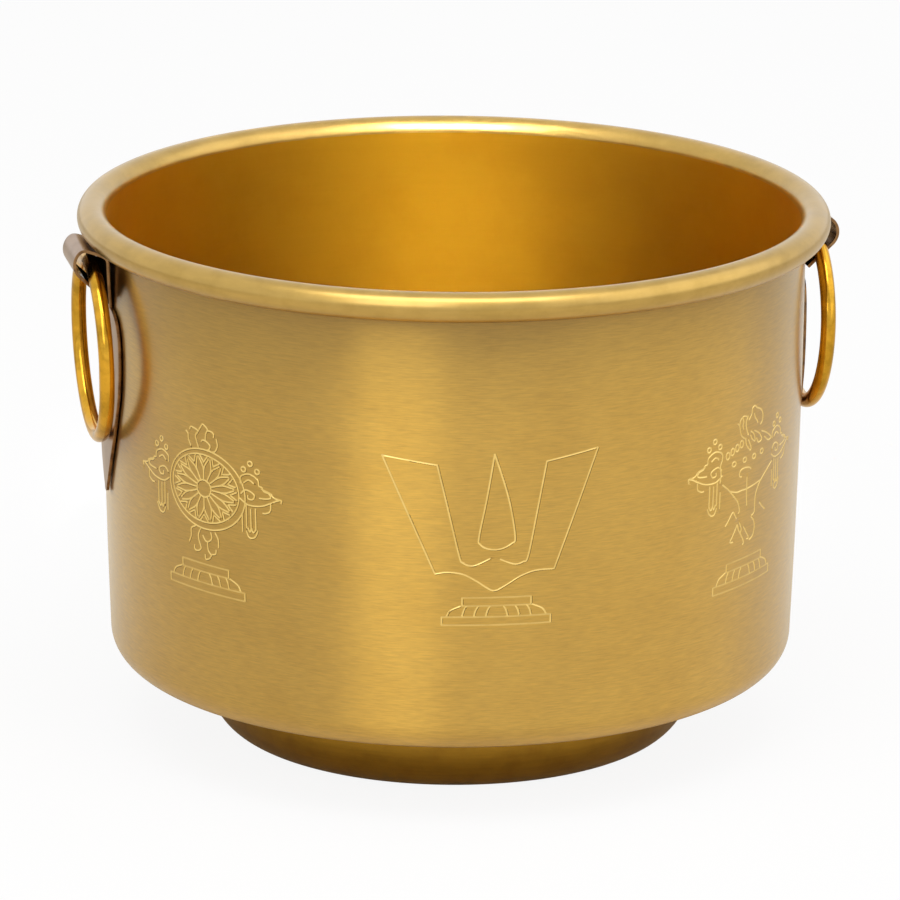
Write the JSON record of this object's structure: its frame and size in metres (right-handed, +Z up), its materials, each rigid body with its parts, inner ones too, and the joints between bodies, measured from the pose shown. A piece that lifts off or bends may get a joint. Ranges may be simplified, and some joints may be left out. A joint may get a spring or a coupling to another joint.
{
  "type": "bucket",
  "caption": "Small straight-sided brass bucket with a rolled rim, a spun foot ring, and swinging wire ring handles hung in leaf-shaped sheet hangers.",
  "frame": {"origin": "centre of the foot ring's underside, on the surface that the bucket stands on", "axes": "+Z up along the bucket's axis; +X towards the right-hand handle, so that the handles lie on the X axis and the engraved front faces -Y"},
  "size_m": [0.2072, 0.2, 0.1446],
  "materials": {
    "body": "brushed round the body, satin",
    "foot": "spun and polished",
    "hanger": "polished sheet, slightly dulled",
    "ring": "polished wire"
  },
  "bodies": {
    "bucket": {"vessel": "body", "foot_ring": "foot", "hanger_right": "hanger", "hanger_left": "hanger"},
    "ring_right": {"ring_right": "ring"},
    "ring_left": {"ring_left": "ring"}
  },
  "joints": [
    {"name": "ring_right_swing", "type": "hinge", "parent": "bucket", "child": "ring_right", "pos_m": [0.0979, 0, 0.13148], "axis": [0, -1, 0], "range_deg": [0, 155]},
    {"name": "ring_left_swing", "type": "hinge", "parent": "bucket", "child": "ring_left", "pos_m": [-0.0979, 0, 0.13148], "axis": [0, 1, 0], "range_deg": [0, 155]}
  ]
}
